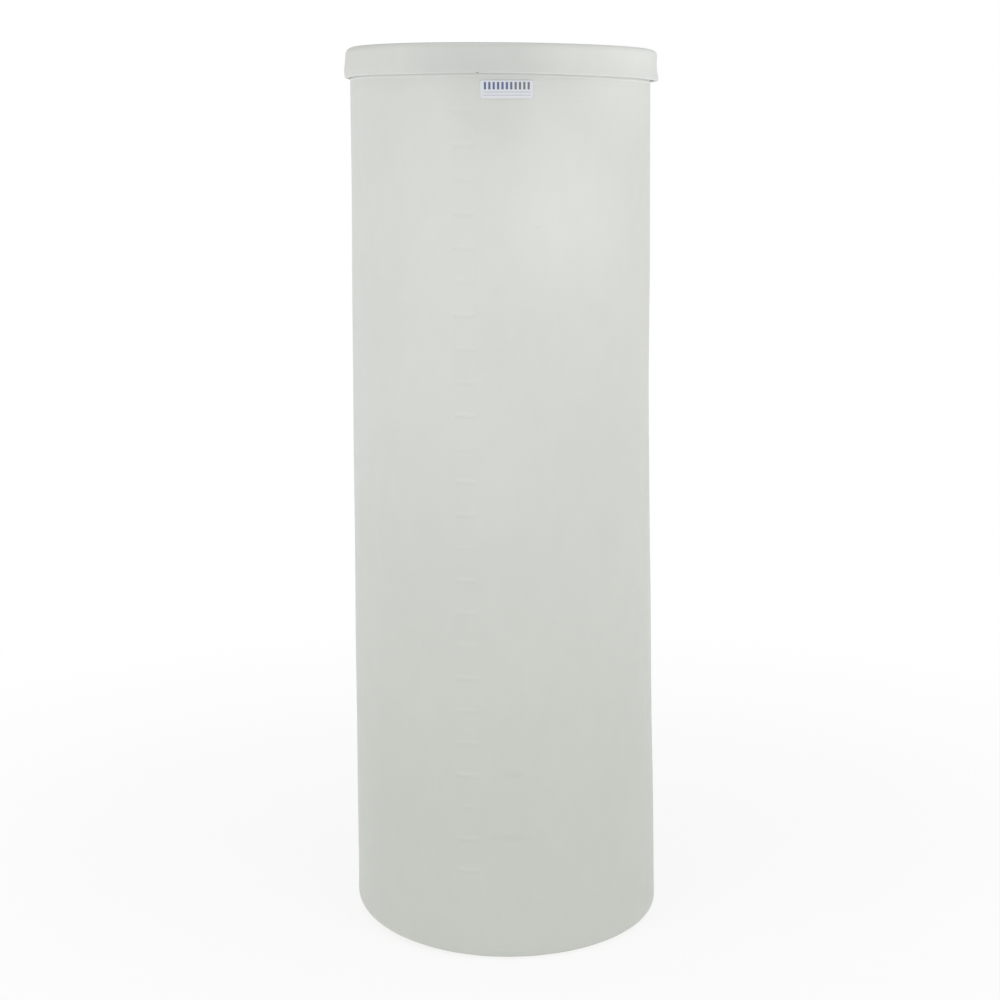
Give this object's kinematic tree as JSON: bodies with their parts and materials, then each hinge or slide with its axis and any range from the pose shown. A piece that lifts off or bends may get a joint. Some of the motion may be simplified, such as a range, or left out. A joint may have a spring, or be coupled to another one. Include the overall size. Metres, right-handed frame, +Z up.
{
  "type": "vertical storage tank",
  "caption": "Vertical cylindrical open-top moulded polyethylene storage tank with a flat base and a slip-on lift-off cover.",
  "frame": {"origin": "middle of the base, on the surface that the tank stands on", "axes": "+Z up along the tank's axis, -Y towards the front where the label is, +X to the right seen from the front"},
  "size_m": [0.328, 0.328, 0.9185],
  "materials": {
    "polyethylene": "natural translucent polyethylene, satin as moulded",
    "cover_polyethylene": "natural translucent polyethylene, satin as moulded",
    "label_film": "white label film, bare"
  },
  "bodies": {
    "tank": {"tank_floor": "polyethylene", "wall_01": "polyethylene", "wall_02": "polyethylene", "wall_03": "polyethylene", "wall_04": "polyethylene", "wall_05": "polyethylene", "wall_06": "polyethylene", "wall_07": "polyethylene", "wall_08": "polyethylene", "wall_09": "polyethylene", "wall_10": "polyethylene", "wall_11": "polyethylene", "wall_12": "polyethylene", "label": "label_film"},
    "lid": {"lid_top": "cover_polyethylene", "lid_rim_01": "cover_polyethylene", "lid_rim_02": "cover_polyethylene", "lid_rim_03": "cover_polyethylene", "lid_rim_04": "cover_polyethylene", "lid_rim_05": "cover_polyethylene", "lid_rim_06": "cover_polyethylene", "lid_rim_07": "cover_polyethylene", "lid_rim_08": "cover_polyethylene", "lid_rim_09": "cover_polyethylene", "lid_rim_10": "cover_polyethylene", "lid_rim_11": "cover_polyethylene", "lid_rim_12": "cover_polyethylene"}
  },
  "joints": [
    {"name": "lid_lift", "type": "slide", "parent": "tank", "child": "lid", "axis": [0, 0, 1], "range_m": [0, 0.25]}
  ]
}
